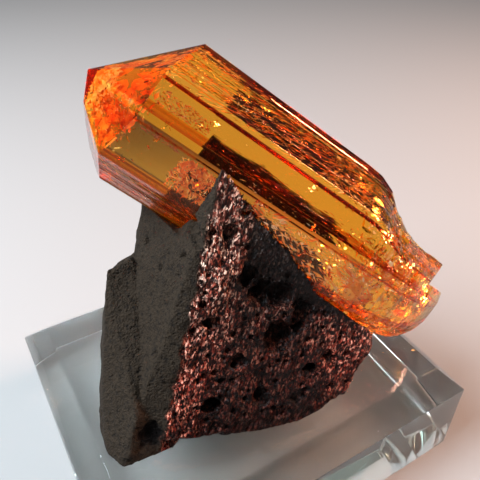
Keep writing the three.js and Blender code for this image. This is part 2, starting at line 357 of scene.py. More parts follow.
def build_crystal():
    """The clear crystal with its open cracks, and the cloudy films inside it."""
    outline, stains = crystal_outline()
    deselect_all()
    bpy.ops.mesh.primitive_circle_add(vertices=len(outline), radius=CRYSTAL_RADIUS * MM, fill_type="NGON")
    piece = bpy.context.active_object
    piece.name = "topaz_with_striated_faces"
    for vertex, point in zip(piece.data.vertices, outline):
        vertex.co = Vector((point.x, point.y, -BLANK_START)) * MM
    piece.data.attributes.new("skin", "FLOAT", "POINT").data.foreach_set("value", stains)
    rings = round((BASE_WIDTHS[-1][0] - SHAFT_END) / BASE_RING)

    def extrude(length):
        bpy.ops.mesh.extrude_region_move(TRANSFORM_OT_translate={"value": (0, 0, -length * MM)})

    in_edit_mode(piece, lambda: extrude(SHAFT_END - BLANK_START), *[lambda: extrude(BASE_RING)] * rings)
    put_in_order(piece.data)
    for vertex in piece.data.vertices:
        vertex.co = base_point(vertex.co / MM) * MM
    in_edit_mode(piece, lambda: bpy.ops.mesh.normals_make_consistent(inside=False))
    for start, front, side in TERMINATION:
        normal = Vector((front, side, 1)).normalized()
        in_edit_mode(piece, lambda: bpy.ops.mesh.bisect(
            plane_co=(0, 0, -start * MM), plane_no=normal, use_fill=True, clear_outer=True))
    cut_base_step(piece)
    mark_etched_faces(piece)
    make_active(piece)
    bpy.ops.object.shade_smooth_by_angle(angle=math.radians(3))
    cracks = make_flaws(piece, "cracks", True, OPEN_CRACKS, GLINTS, CRACK_SEED)
    films = make_flaws(piece, "healed_fracture_films", False, CLOUDY_FILMS, [], FILM_SEED)
    make_active(piece)
    cracks.select_set(True)
    bpy.ops.object.join()
    for part in (piece, films):
        part.data.transform(CRYSTAL_MATRIX)
    return piece, films


def put_in_order(mesh):
    """Numbers faces and their corners anew, because extruding numbers them differently each run."""
    points = [vertex.co.copy() for vertex in mesh.vertices]
    stains = [point.value for point in mesh.attributes["skin"].data]
    faces = []
    for face in mesh.polygons:
        corners = list(face.vertices)
        first = corners.index(min(corners))
        faces.append(corners[first:] + corners[:first])
    mesh.clear_geometry()
    mesh.from_pydata(points, [], sorted(faces))
    mesh.attributes.new("skin", "FLOAT", "POINT").data.foreach_set("value", stains)


def cut_base_step(piece):
    """Breaks the step out of the base's upper half."""
    deselect_all()
    bpy.ops.mesh.primitive_cube_add(size=1)
    cutter = bpy.context.active_object
    order = sorted(cutter.data.vertices, key=lambda v: (v.co.x < 0, v.co.z < 0, v.co.y > 0))
    for vertex, (front, side, s) in zip(order, BASE_STEP):
        vertex.co = Vector((front, side, -s)) * MM
    finish_modifier(piece, "BOOLEAN", operation="DIFFERENCE", object=cutter, solver="EXACT")
    bpy.data.objects.remove(cutter)


def mark_etched_faces(piece):
    """Marks the termination and the broken base, which are slightly frosted. No face is stained."""
    mesh = piece.data
    etched = mesh.attributes.new("etched", "FLOAT", "FACE")
    for face in mesh.polygons:
        s = -face.center.z / MM
        tip = 1.0 if face.normal.z > 0.3 and s < 12 else 0.0
        etched.data[face.index].value = max(tip, smooth_step((s - 50) / 10))
    mesh.attributes.new("stain", "FLOAT", "FACE")


# ------------------------------------------------------------------ flaws inside the crystal

# Two kinds are made the same way, as thin flakes. Open cracks are gas-filled gaps: their shells are
# turned inwards, as voids of the crystal's own mesh. Healed fractures are cloudy films, stained by
# iron from the ground, and make a piece of their own.


def under_face(draw, corner, shares, downs, depths):
    """A place under a prism face: the corner it starts at, share of its width, s and depth."""
    angles = [face[0] for face in PRISM_FACES]
    start, end = on_circle(corner), on_circle(angles[(angles.index(corner) + 1) % len(angles)])
    outward = Vector((*(start + end).normalized(), 0))
    x, y = start.lerp(end, draw.uniform(*shares))
    return Vector((x, y, -draw.uniform(*downs))) - outward * some_depth(draw, depths), outward


def under_tip(draw, fronts, sides, depths):
    """A place under the termination, by how far it lies to the front and the side."""
    front, side = draw.uniform(*fronts), draw.uniform(*sides)
    start, a, b = max(TERMINATION, key=lambda plane: plane[0] + plane[1] * front + plane[2] * side)
    s = start + a * front + b * side + some_depth(draw, depths)
    return Vector((front, side, -s)), Vector((a, b, 1))


def under_base(draw, angles, downs, depths):
    """A place under the skin of the broken base, by its angle from the front and its s."""
    angle = draw.uniform(*angles)
    x, y = on_circle(angle, CRYSTAL_RADIUS - some_depth(draw, depths))
    return base_point(Vector((x, y, -draw.uniform(*downs)))), Vector((*on_circle(angle), 0))


def in_box(draw, low, high):
    """A place anywhere between a low and a high corner (front, side, s), turned any way."""
    f, p, s = [draw.uniform(a, b) for a, b in zip(low, high)]
    return Vector((f, p, -s)), random_way(draw)


def some_depth(draw, depths):
    """A depth under the skin, more often a small one."""
    return depths[0] + (depths[1] - depths[0]) * draw.random() ** 1.6


# Each group of flaws: where it lies, number, least and greatest radius, stretch, how far its flakes
# lean at random, their greatest turn from the axis in degrees, and their mean stain, where 0 is clean
# and 1 is rust red.
OPEN_CRACKS = [
    (under_face, (23.2, (0.3, 0.7), (1.6, 10.8), (0.3, 0.9)), 120, (0.06, 0.2), 2.6, 0.7, 50, 0.6),
    (under_face, (23.2, (0.55, 1.0), (12.0, 50.0), (0.3, 1.4)), 120, (0.05, 0.13), 10.0, 0.3, 6, 0.7),
    (under_face, (-5.7, (0.2, 0.85), (9.5, 20.0), (0.4, 5.0)), 180, (0.08, 0.5), 2.4, 1.0, 90, 0.2),
    (under_face, (-5.7, (0.1, 0.95), (20.0, 52.0), (0.4, 4.0)), 220, (0.06, 0.5), 3.0, 0.9, 60, 0.2),
    (under_face, (-42.8, (0.1, 0.9), (-2.0, 22.0), (0.3, 2.0)), 100, (0.05, 0.16), 8.0, 0.5, 12, 0.4),
    (under_face, (82.0, (0.04, 0.96), (2.0, 50.0), (0.3, 3.2)), 360, (0.05, 0.16), 9.0, 0.6, 12, 0.5),
    (under_face, (82.0, (0.3, 0.98), (33.0, 52.0), (0.3, 4.0)), 160, (0.08, 0.4), 2.2, 1.0, 90, 0.2),
    (under_tip, ((2.0, 14.5), (-9.0, 13.0), (0.4, 8.0)), 380, (0.06, 0.3), 4.0, 1.0, 60, 0.1),
    (in_box, ((-10, -12, 46), (12, 6, 72)), 420, (0.06, 0.5), 2.6, 0.0, 90, 0.1),
    (in_box, ((-6, -12, 50), (12, 4, 70)), 60, (0.8, 2.2), 1.3, 0.0, 90, 0.1),
]
CLOUDY_FILMS = [
    # the termination: haze, its yellow edge, the red fan and streaks down from the upper edge
    (under_tip, ((2.0, 14.5), (-9.0, 13.0), (0.5, 2.6)), 300, (0.5, 1.5), 1.8, 0.14, 40, 0.46),
    (under_tip, ((2.0, 14.5), (-9.0, 13.0), (0.2, 2.2)), 1300, (0.05, 0.2), 5.0, 0.4, 30, 0.42),
    (under_tip, ((2.0, 7.0), (-5.0, 3.0), (0.2, 1.6)), 700, (0.06, 0.36), 3.0, 0.3, 30, 0.14),
    (under_tip, ((2.0, 7.5), (-5.0, 3.0), (0.2, 1.2)), 140, (0.4, 1.2), 1.8, 0.14, 40, 0.22),
    (under_tip, ((4.5, 12.0), (-5.8, -1.4), (0.2, 1.4)), 260, (0.03, 0.05), 20.0, 0.3, 12, 0.9),
    (under_tip, ((5.0, 12.0), (6.0, 12.0), (0.2, 2.0)), 160, (0.03, 0.07), 10.0, 0.4, 30, 0.75),
    # the front faces: feathery patch, fine band and its white streak, dark line
    (under_face, (23.2, (0.3, 0.7), (1.6, 10.8), (0.3, 1.2)), 420, (0.03, 0.1), 6.0, 0.7, 50, 0.85),
    (under_face, (23.2, (0.74, 0.92), (-0.6, 12.5), (0.2, 0.5)), 320, (0.03, 0.06), 14.0, 0.3, 3, 0.7),
    (under_face, (23.2, (0.84, 0.91), (10.4, 13.2), (0.2, 0.3)), 40, (0.05, 0.09), 10.0, 0.1, 3, 0.0),
    (under_face, (23.2, (0.5, 1.0), (12.0, 50.0), (0.3, 1.4)), 320, (0.03, 0.06), 14.0, 0.4, 6, 0.85),
    (under_face, (23.2, (0.5, 1.0), (40.0, 55.0), (0.3, 3.0)), 260, (0.04, 0.14), 8.0, 0.5, 12, 1.0),
    (under_face, (23.2, (0.02, 0.5), (10.0, 52.0), (0.4, 2.0)), 40, (0.03, 0.1), 5.0, 0.8, 60, 0.3),
    (under_face, (-0.8, (0.0, 1.0), (14.0, 48.0), (0.3, 1.2)), 60, (0.03, 0.07), 8.0, 0.4, 10, 0.3),
    # below them: the maroon bar, crackle where the rock's edge meets the crystal, and on to the base
    (under_face, (-5.7, (0.06, 0.2), (1.6, 8.6), (0.2, 0.6)), 420, (0.06, 0.16), 6.0, 0.3, 6, 1.1),
    (under_face, (-5.7, (0.2, 0.85), (9.5, 20.0), (0.3, 2.0)), 700, (0.06, 0.3), 3.0, 0.5, 90, 0.55),
    (under_face, (-5.7, (0.28, 0.8), (10.5, 19.5), (1.0, 3.4)), 60, (0.3, 0.9), 1.6, 0.25, 60, 0.6),
    (under_face, (-5.7, (0.15, 0.95), (24.0, 52.0), (0.3, 2.4)), 800, (0.08, 0.4), 4.0, 0.4, 40, 0.34),
    (under_face, (-42.8, (0.1, 0.9), (-2.0, 22.0), (0.3, 2.0)), 700, (0.03, 0.09), 12.0, 0.5, 10, 0.42),
    # the upper face: striations, whitish streaks, cream crackle and the maroon wedge below it
    (under_face, (82.0, (0.02, 0.98), (-2.0, 50.0), (0.2, 1.6)), 2000, (0.05, 0.14), 12.0, 0.35, 4, 0.44),
    (under_face, (82.0, (0.08, 0.92), (0.0, 50.0), (0.6, 2.4)), 700, (0.12, 0.34), 14.0, 0.15, 3, 0.62),
    (under_face, (82.0, (0.05, 0.95), (-1.0, 14.0), (0.2, 0.9)), 130, (0.03, 0.05), 20.0, 0.3, 25, 0.05),
    (under_face, (82.0, (0.35, 0.75), (12.0, 20.0), (0.2, 0.6)), 220, (0.04, 0.12), 3.0, 0.8, 90, 0.05),
    (under_face, (82.0, (0.8, 0.96), (12.5, 19.5), (0.2, 0.6)), 260, (0.05, 0.1), 7.0, 0.3, 10, 1.0),
    (under_face, (82.0, (0.3, 0.98), (33.0, 52.0), (0.3, 2.0)), 420, (0.05, 0.26), 4.0, 0.7, 60, 0.3),
    # the broken base: haze, dark cracks on the stripe's line, rusty shards and cream crackle
    (under_base, ((-75, 80), (50.0, 71.0), (0.7, 4.0)), 340, (0.3, 1.2), 1.8, 0.25, 90, 0.34),
    (under_base, ((-75, 80), (47.0, 71.0), (0.5, 4.0)), 1300, (0.06, 0.26), 3.0, 0.5, 90, 0.42),
    (under_base, ((-8, 14), (46.0, 57.0), (0.3, 1.5)), 200, (0.04, 0.12), 7.0, 0.4, 15, 1.0),
    (under_base, ((-60, -20), (42.0, 56.0), (0.3, 2.5)), 200, (0.06, 0.25), 3.0, 0.8, 40, 0.9),
    (under_base, ((-12, 12), (58.0, 69.0), (0.4, 1.4)), 300, (0.08, 0.34), 2.0, 0.7, 90, 0.1),
    (under_base, ((14, 60), (42.0, 49.0), (0.4, 1.6)), 160, (0.05, 0.3), 2.0, 0.7, 90, -0.1),
    (in_box, ((-8, -12, 47), (12, 6, 71)), 500, (0.05, 0.3), 4.0, 0.0, 90, 0.4),
]
# Clusters of flat cracks that throw the lamp's light at the eye: centre (front, side, s), spread,
# number, radius, stretch and stain.
GLINTS = [
    ((13.7, 2.5, 9.4), 0.6, 10, 0.14, 1.3, 0.3), ((13.3, 4.0, 11.2), 0.7, 20, 0.18, 1.3, 0.3),
    ((13.2, 4.4, 30.6), 0.9, 30, 0.18, 1.3, 0.3), ((14.1, -1.2, 34.2), 0.8, 30, 0.18, 1.3, 0.3),
    ((8.7, 9.1, 44.1), 1.2, 60, 0.36, 1.3, 0.15), ((11.7, 7.1, 43.2), 1.3, 60, 0.36, 1.3, 0.15),
    ((12.8, 5.2, 47.2), 1.6, 80, 0.36, 1.3, 0.15), ((14.0, -0.8, 47.4), 1.0, 30, 0.24, 1.3, 0.2),
    ((9.2, 0.4, 62.2), 2.0, 220, 0.36, 1.3, 0.15), ((7.2, -1.2, 65.0), 2.0, 180, 0.36, 1.3, 0.15),
    ((3.0, -0.7, -5.0), 2.4, 40, 0.2, 1.3, 0.3), ((7.6, 10.0, 14.0), 2.4, 40, 0.09, 3.0, 0.1),
    ((6.0, 10.8, 18.0), 1.8, 30, 0.1, 2.0, 0.1), ((6.6, 10.6, 6.0), 3.2, 24, 0.05, 12.0, 0.1),
    ((6.6, 10.2, 26.0), 6.0, 30, 0.05, 10.0, 0.1), ((8.0, 9.5, 40.0), 5.0, 160, 0.09, 3.0, 0.4),
    ((10.5, 2.0, 55.0), 6.5, 340, 0.13, 2.0, 0.3), ((12.5, -4.5, 42.0), 7.0, 260, 0.1, 3.0, 0.4),
    ((9.0, -5.0, 62.0), 5.0, 200, 0.13, 2.0, 0.4), ((12.8, -5.5, 14.0), 3.5, 140, 0.1, 2.0, 0.5),
]
GLINT_RADII = (0.4, 1.3)  # least and greatest share of a cluster's radius
GLINT_LEAN = 0.02  # how far a glinting crack leans at random
GLINT_TURN = 30  # its greatest turn from the axis in degrees
CLEAR_SPOT = (Vector((7.9, 3.3, 4.3)), 2.8)  # a ball in the termination with no other flaws
FLAW_THICKNESS = 0.03  # share of a flaw's radius
FLAW_WAVES = 0.14  # how far a flaw bends out of its plane, as a share of its radius
FLAW_REACH = 1.4  # a flaw's uneven rim stays within this many radii
FLAW_COVER = 0.12  # least thickness of crystal over a flaw
FLAW_KINDS = 5  # different outlines
LARGE_FLAW = 0.8  # flaws of a greater radius have a finer mesh
STAIN_SPREAD = 0.25  # how much flaws of one group differ in stain
LARGE_STAIN_SPREAD = 0.075  # the same for large flaws, which have to read as one haze
CRACK_SEED = 12
FILM_SEED = 21
EYE_SPOT = CRYSTAL_MATRIX.inverted() @ (CAMERA_PLACE * MM) / MM
LAMP_SPOT = CRYSTAL_MATRIX.inverted() @ (LAMP_PLACE * MM) / MM
DOWN_AXIS = Vector((0, 0, -1))
TOWARDS_TIP = Vector((0, 0, 0.6))  # films also face the tip, which the window lights


def bent_inside(way, face):
    """The way inside the crystal of light that leaves it this way through a face."""
    along = way.normalized().dot(face)
    across = (way.normalized() - face * along) / TOPAZ_IOR
    return across + face * math.sqrt(1 - across.length_squared)


def throwing_lamp(skin, centre):
    """The way a flake must face to throw the lamp's light at the eye, if both can be seen from it."""
    glance = Vector()
    for spot in (EYE_SPOT, LAMP_SPOT):
        way = inside = (spot - centre).normalized()
        for _ in range(3):
            face = skin.ray_cast(centre * MM, inside)[1]
            if face is None or face.dot(way) < 0.1:
                return None
            inside = bent_inside(way, face)
        glance += inside
    return glance.normalized()


def make_flake(number, sides, rings, inward, waves):
    """The points and faces of a flake, one millimetre in radius, inside out if inward."""
    deselect_all()
    bpy.ops.mesh.primitive_uv_sphere_add(segments=sides, ring_count=rings, radius=1)
    flake = bpy.context.active_object
    in_edit_mode(flake, lambda: bpy.ops.transform.resize(value=(1, 1, FLAW_THICKNESS)))
    if inward:
        in_edit_mode(flake, lambda: bpy.ops.mesh.flip_normals())
    for vertex in flake.data.vertices:
        rim = Vector((vertex.co.x, vertex.co.y, number * 7.3))
        vertex.co *= 1 + 0.5 * noise.noise(rim * 1.7)
        vertex.co.z += waves * noise.noise(rim * 1.1 + Vector((3, 1, 5)))
    points = [vertex.co.copy() for vertex in flake.data.vertices]
    faces = [list(face.vertices) for face in flake.data.polygons]
    bpy.data.objects.remove(flake)
    return points, faces


def make_flakes(sides, rings, inward, waves=FLAW_WAVES):
    """A few flakes of one kind, each with an outline of its own."""
    return [make_flake(number, sides, rings, inward, waves) for number in range(FLAW_KINDS)]


def random_way(draw):
    """A direction, none likelier than another."""
    z = draw.uniform(-1, 1)
    angle = draw.uniform(0, math.tau)
    return Vector((math.sqrt(1 - z * z) * math.cos(angle), math.sqrt(1 - z * z) * math.sin(angle), z))


def lie(normal, turn):
    """Axes of a flake: its flat side across the normal, its length down the axis but turned so far."""
    normal = normal.normalized()
    length = (DOWN_AXIS - normal * DOWN_AXIS.dot(normal)).normalized()
    axes = Matrix((length, normal.cross(length), normal)).transposed()
    return axes @ Matrix.Rotation(math.radians(turn), 3, "Z")


def scattered(draw, groups, way):
    """The centre, axes, radius, stretch and stain of each flaw of the groups, turned this way too."""
    for where, ranges, count, radii, stretch, lean, turn, stain in groups:
        for _ in range(count):
            centre, outward = where(draw, *ranges)
            facing = outward.normalized() + way
            axes = lie(facing + random_way(draw) * lean, draw.uniform(-turn, turn))
            radius = radii[0] + (radii[1] - radii[0]) * draw.random() ** 2.5
            long = stretch * draw.uniform(0.5, 1.5)
            if (centre - CLEAR_SPOT[0]).length > CLEAR_SPOT[1]:
                yield centre, axes, radius, long, stain


def glinting(draw, clusters, skin):
    """The centre, axes, radius, stretch and stain of each flaw that glints."""
    for (front, side, s), spread, count, radius, stretch, stain in clusters:
        for _ in range(count):
            centre = Vector((front, side, -s)) + random_way(draw) * spread * draw.random()
            glance = throwing_lamp(skin, centre)
            if glance:
                axes = lie(glance + random_way(draw) * GLINT_LEAN, draw.uniform(-GLINT_TURN, GLINT_TURN))
                yield centre, axes, radius * draw.uniform(*GLINT_RADII), stretch, stain


def fits(skin, centre, axes, radius, stretch):
    """Whether a flaw lies inside the crystal, with some of it left over the whole flaw."""
    for step in range(6):
        x, y = on_circle(60 * step, radius * FLAW_REACH)
        rim = (centre + axes @ Vector((x * stretch, y, 0))) * MM
        near, outward, _, distance = skin.find_nearest(rim)
        if (rim - near).dot(outward) > 0 or distance < FLAW_COVER * MM:
            return False
    return True


def make_flaws(piece, name, inward, groups, clusters, seed):
    """One piece of all flaws of a kind that fit inside the crystal: open cracks or cloudy films."""
    draw = random.Random(seed)
    small = make_flakes(6 if inward else 4, 3, inward)
    large = make_flakes(12, 4, inward)
    flat = make_flakes(6, 3, inward, waves=0.0)
    skin = BVHTree.FromObject(piece, bpy.context.evaluated_depsgraph_get())
    points, faces, stains = [], [], []

    def add_flaw(shapes, centre, axes, radius, stretch, stain):
        if not fits(skin, centre, axes, radius, stretch):
            return
        shape, shape_faces = draw.choice(shapes)
        first = len(points)
        for point in shape:
            own = Vector((point.x * radius * stretch, point.y * radius, point.z * radius))
            points.append((centre + axes @ own) * MM)
        faces.extend([first + corner for corner in face] for face in shape_faces)
        spread = LARGE_STAIN_SPREAD if radius > LARGE_FLAW else STAIN_SPREAD
        stains.extend([max(0.0, min(1.0, stain + draw.uniform(-spread, spread)))] * len(shape_faces))

    for centre, axes, radius, stretch, stain in scattered(draw, groups, Vector() if inward else TOWARDS_TIP):
        add_flaw(large if radius > LARGE_FLAW else small, centre, axes, radius, stretch, stain)
    for centre, axes, radius, stretch, stain in glinting(draw, clusters, skin):
        add_flaw(flat, centre, axes, radius, stretch, stain)
    mesh = bpy.data.meshes.new(name)
    mesh.from_pydata(points, [], faces)
    mesh.attributes.new("stain", "FLOAT", "FACE").data.foreach_set("value", stains)
    flaws = bpy.data.objects.new(name, mesh)
    bpy.context.scene.collection.objects.link(flaws)
    return flaws


# ------------------------------------------------------------------ the rock

ROCK_VOXEL = 0.33  # size of the cells that the solid is made anew from
ROCK_FOOT = 25.3  # height up to which the rock keeps its flat foot
ROCK_APEX = Vector((-5.8, -6.2, 75.9))  # head of the edge between the smooth and the broken face
ROCK_CORNER = Vector((-24.3, -15.3, 28.4))  # foot of that edge
ROCK_EDGE = (ROCK_CORNER - ROCK_APEX).normalized()
BROKEN_NORMAL = Vector((-0.18, -0.94, 0.28)).normalized()
BEYOND_EDGE = BROKEN_NORMAL.cross(ROCK_EDGE).normalized()  # the way from the edge over the broken face
ROCK_TRIANGLES = 190000
POCKET_DEPTH = 0.9
TROUGH_END = 62.0  # how far down the crystal's axis the rock keeps clear of the crystal
# The largest gas pockets: centre and radius. The last is the cave at the foot of the two slabs. Their
# insides are sunk and painted near black, a painted shade.
GAS_POCKETS = [
    ((-5.8, -9.3, 65.5), 1.5), ((-0.2, -16.8, 44.4), 2.9), ((3.6, -17.2, 45.6), 1.6),
    ((-4.4, -12.6, 57.2), 1.7), ((-2.4, -13.6, 53.4), 2.2), ((0.8, -14.6, 52.2), 2.2),
    ((4.4, -16.6, 47.6), 2.0), ((-11.6, -12.2, 49.6), 1.2), ((-8.6, -16.4, 41.6), 1.7),
    ((-5.4, -19.4, 33.0), 1.9), ((-14.6, -15.8, 33.4), 1.8), ((4.6, -21.6, 36.8), 1.6),
    ((8.4, -21.4, 38.6), 1.3), ((1.8, -22.4, 31.4), 1.5), ((-3.2, -9.3, 68.2), 0.9),
    ((-26.2, -13.6, 29.2), 2.6),
]
# The grains of the broken face are drawn out along its edge.
DRAWN_OUT = Matrix((ROCK_EDGE * 0.45, BEYOND_EDGE, BROKEN_NORMAL))
GRAIN_TURN = (ROCK_CORNER - ROCK_APEX).to_track_quat("Z", "Y").to_euler()
GRAIN_SHAPE = (1.0, 1.0, 3.2)


def build_rock():
    """The rock's solid with its pits and grains. Marks what is broken, where light is painted on the broken
    face, and the painted shade in its gas pockets and in the crystal's shadow.
    """
    piece = copy_of_node("lava_rock", "rock_with_gas_pits")
    finish_modifier(piece, "REMESH", mode="VOXEL", voxel_size=ROCK_VOXEL * MM)
    finish_modifier(piece, "SMOOTH", factor=0.5, iterations=4)
    to_crystal = CRYSTAL_MATRIX.inverted()
    mesh = piece.data
    broken, glitter_and_painted_light, painted_shade = [
        mesh.attributes.new(name, "FLOAT", "POINT") for name in ("broken", "glitter_and_painted_light", "painted_shade")]
    normals = [vertex.normal.copy() for vertex in mesh.vertices]
    for i, (vertex, normal) in enumerate(zip(mesh.vertices, normals)):
        point = vertex.co / MM
        own = (to_crystal @ vertex.co) / MM
        to_trough = own.xy.length - CRYSTAL_RADIUS
        from_edge = (point - ROCK_APEX).dot(BEYOND_EDGE)
        wander = noise.noise(point / 2.5) * 0.8
        share = smooth_step((from_edge + wander) / 0.8 + 0.5)
        # gas pockets and the crystal's shadow sink the surface a little; both are also painted near black as
        # painted shade
        pocket = max(in_pocket(point), under_crystal(to_trough, -own.z) * share)
        broken.data[i].value = share
        # painted light on the broken face along its edge and right end, darker towards the bottom, with real
        # glitter in patches
        glitter_and_painted_light.data[i].value = glitter_and_painted_light_at(point, from_edge)
        painted_shade.data[i].value = pocket
        height = broken_height(point, DRAWN_OUT @ point) * share + weathered_height(point) * (1 - share)
        height -= POCKET_DEPTH * pocket
        height *= smooth_step((point.z - ROCK_FOOT) / 1.2)
        if own.z > -TROUGH_END:
            height = min(height, 0.05) * smooth_step((to_trough - 0.2) / 2.4)
        vertex.co = (point + normal * height) * MM
    mesh.update()
    count = sum(len(face.vertices) - 2 for face in mesh.polygons)
    if count > ROCK_TRIANGLES:
        finish_modifier(piece, "DECIMATE", ratio=ROCK_TRIANGLES / count)
    make_active(piece)
    bpy.ops.object.shade_smooth()
    return piece


def in_pocket(point):
    """How deep a point lies in a large gas pocket, from 0 at its uneven rim to 1. The pocket is sunk into
    the surface and painted near black, a painted shade.
    """
    place = point + noise.noise_vector(point / 1.6) * 1.1 + noise.noise_vector(point / 0.6) * 0.4
    nearest = min((place - Vector(at)).length / radius for at, radius in GAS_POCKETS)
    return smooth_step((1.2 - nearest) / 0.5)


def under_crystal(to_trough, s):
    """How far a point lies in the crystal's shadow on the broken face, painted near black, from 0 to 1; the
    surface there is also sunk a little.
    """
    reach = 5.4 * smooth_step((s - 24.5) / 6) * max(0.0, (56 - s) / 25)
    return 0.85 * smooth_step((reach - to_trough) / 1.2 + 0.3)


def glitter_and_painted_light_at(point, from_edge):
    """How bright the broken face glitters, with painted light along its edge and at its right end, where the
    lamp falls, darker towards the bottom, and patchy.
    """
    patchy = 0.5 + noise.noise(point / 3.2) * 0.9 + noise.noise(point / 1.3) * 0.5
    along_edge = smooth_step((9.0 - from_edge) / 9.0)
    right_end = smooth_step((point.x - 4.0) / 9.0) * smooth_step((48.0 - point.z) / 8.0)
    dimmer = 1 - 0.5 * smooth_step((38.0 - point.z) / 7.0)
    return max(0.0, min(1.0, (0.14 + along_edge + right_end) * dimmer * (0.35 + patchy)))


def broken_height(point, drawn_out):
    """Relief of the broken face: drawn-out grains, small vesicles and slow swells."""
    grains = noise.noise(drawn_out / 0.5) * 0.42 + noise.noise(drawn_out / 1.3) * 0.5
    swells = noise.noise(point / 4.5) * 0.4
    hole = noise.voronoi(point / 2.6 + Vector((5, 2, 8)))[0][0]
    small = noise.voronoi(drawn_out / 1.1)[0][0]
    return grains + swells - 1.1 * smooth_step((0.3 - hole) / 0.16) - 0.4 * smooth_step((0.3 - small) / 0.2)


def weathered_height(point):
    """Relief of the weathered faces: nearly smooth, with fine pits."""
    pit = noise.voronoi(point / 1.2 + Vector((9, 4, 2)))[0][0]
    uneven = noise.noise(point / 0.7) * 0.13 + noise.noise(point / 2) * 0.22 + noise.noise(point / 6) * 0.3
    return uneven - 0.35 * smooth_step((0.28 - pit) / 0.14)


# ------------------------------------------------------------------ the block


def build_block():
    """The block's solid with its edges rounded a little."""
    piece = copy_of_node("acrylic_block", "acrylic_block_polished")
    finish_modifier(piece, "BEVEL", width=0.25 * MM, segments=3, limit_method="ANGLE")
    make_active(piece)
    bpy.ops.object.shade_smooth_by_angle(angle=math.radians(20))
    return piece


# ------------------------------------------------------------------ materials


def topaz():
    """Imperial topaz: clear, strongly refracting, orange by what it absorbs, striated along its length."""
    material, output = new_material("topaz_orange")
    place = add_object_place(material)
    turn = CRYSTAL_MATRIX.to_3x3().transposed().to_euler()
    local = add_node(material, "ShaderNodeMapping", {"Vector": place, "Rotation": turn})
    lines = add_node(material, "ShaderNodeMapping", {
        "Vector": local.outputs["Vector"], "Scale": (1, 1, 0.02)})
    striae = add_noise(material, lines.outputs["Vector"], 0.7, 3.0, 0.6)
    grown = add_node(material, "ShaderNodeBump", {
        "Height": striae.outputs["Fac"], "Strength": 0.12, "Distance": 0.15 * MM})
    etched = add_attribute(material, "etched")
    hillocks = add_noise(material, place, 1.1, 4.0, 0.65)
    bump = add_node(material, "ShaderNodeBump", {
        "Height": hillocks.outputs["Fac"], "Strength": etched, "Distance": 0.1 * MM,
        "Normal": grown.outputs["Normal"]})
    frost = add_node(material, "ShaderNodeMath", {0: etched, 1: 0.035, 2: 0.012}, operation="MULTIPLY_ADD")
    cloud = add_noise(material, place, 3.5, 5.0)
    patch = add_node(material, "ShaderNodeMapRange", {
        "Value": cloud.outputs["Fac"], "From Min": 0.35, "From Max": 0.65, "To Min": 0.0, "To Max": 0.34})
    clouded = add_node(material, "ShaderNodeMath", {0: patch.outputs[0], 1: etched}, operation="MULTIPLY")
    rust = add_node(material, "ShaderNodeMath", {
        0: add_attribute(material, "skin"), 1: clouded.outputs[0]}, operation="MAXIMUM")
    stain = add_node(material, "ShaderNodeMath", {
        0: rust.outputs[0], 1: add_attribute(material, "stain")}, operation="MAXIMUM")
    tint = add_ramp(material, stain.outputs[0], [
        (0.0, "#ffffff"), (0.3, "#ffd060"), (0.6, "#ff8a3c"), (1.0, "#a02c14")])
    surface = add_node(material, "ShaderNodeBsdfPrincipled", {
        "Base Color": tint, "Roughness": frost.outputs[0], "IOR": TOPAZ_IOR, "Transmission Weight": 1.0,
        "Specular Tint": linear("#ffc090"), "Normal": bump.outputs["Normal"]})
    inside = add_node(material, "ShaderNodeVolumeAbsorption", {
        "Color": (0.98, 0.77, 0.15, 1.0), "Density": 150.0})
    return finish_material(material, output, surface, inside)


def stained_film():
    """Healed fractures: cloudy films of tiny bubbles, cream where clean and rust red where stained."""
    material, output = new_material("iron_stained_film")
    cloud = add_noise(material, add_object_place(material), 2.2, 4.0)
    uneven = add_node(material, "ShaderNodeMapRange", {
        "Value": cloud.outputs["Fac"], "From Min": 0.3, "From Max": 0.7, "To Min": -0.2, "To Max": 0.2})
    stain = add_node(material, "ShaderNodeMath", {
        0: add_attribute(material, "stain"), 1: uneven.outputs[0]}, operation="ADD", use_clamp=True)
    colour = add_ramp(material, stain.outputs[0], [
        (0.0, "#fffaec"), (0.3, "#ffc868"), (0.6, "#ff8034"), (1.0, "#8e2618")])
    surface = add_node(material, "ShaderNodeBsdfPrincipled", {"Base Color": colour, "Roughness": 0.7})
    return finish_material(material, output, surface)


def acrylic():
    """Cast acrylic, machined and polished: water clear with mirror-like faces."""
    material, output = new_material("acrylic_clear")
    surface = add_node(material, "ShaderNodeBsdfPrincipled", {
        "Base Color": linear("#ffffff"), "Roughness": 0.0, "IOR": 1.49, "Transmission Weight": 1.0})
    inside = add_node(material, "ShaderNodeVolumeAbsorption", {
        "Color": (0.93, 0.96, 0.95, 1.0), "Density": 30.0})
    return finish_material(material, output, surface, inside)


def rock_grains(material, place):
    """The crystals of the broken face: the node that makes them and where it is read."""
    sway = add_noise(material, place, 0.5, 2.0)
    warped = add_node(material, "ShaderNodeVectorMath", {
        0: sway.outputs["Color"], 1: (0.5 * MM, 0.5 * MM, 0.5 * MM), 2: place}, operation="MULTIPLY_ADD")
    lift = add_node(material, "ShaderNodeMapping", {
        "Vector": warped.outputs[0], "Rotation": GRAIN_TURN, "Scale": GRAIN_SHAPE}, vector_type="TEXTURE")
    where = lift.outputs["Vector"]
    grain = add_node(material, "ShaderNodeTexVoronoi", {"Vector": where, "Scale": 1 / (0.23 * MM)})
    return grain, where


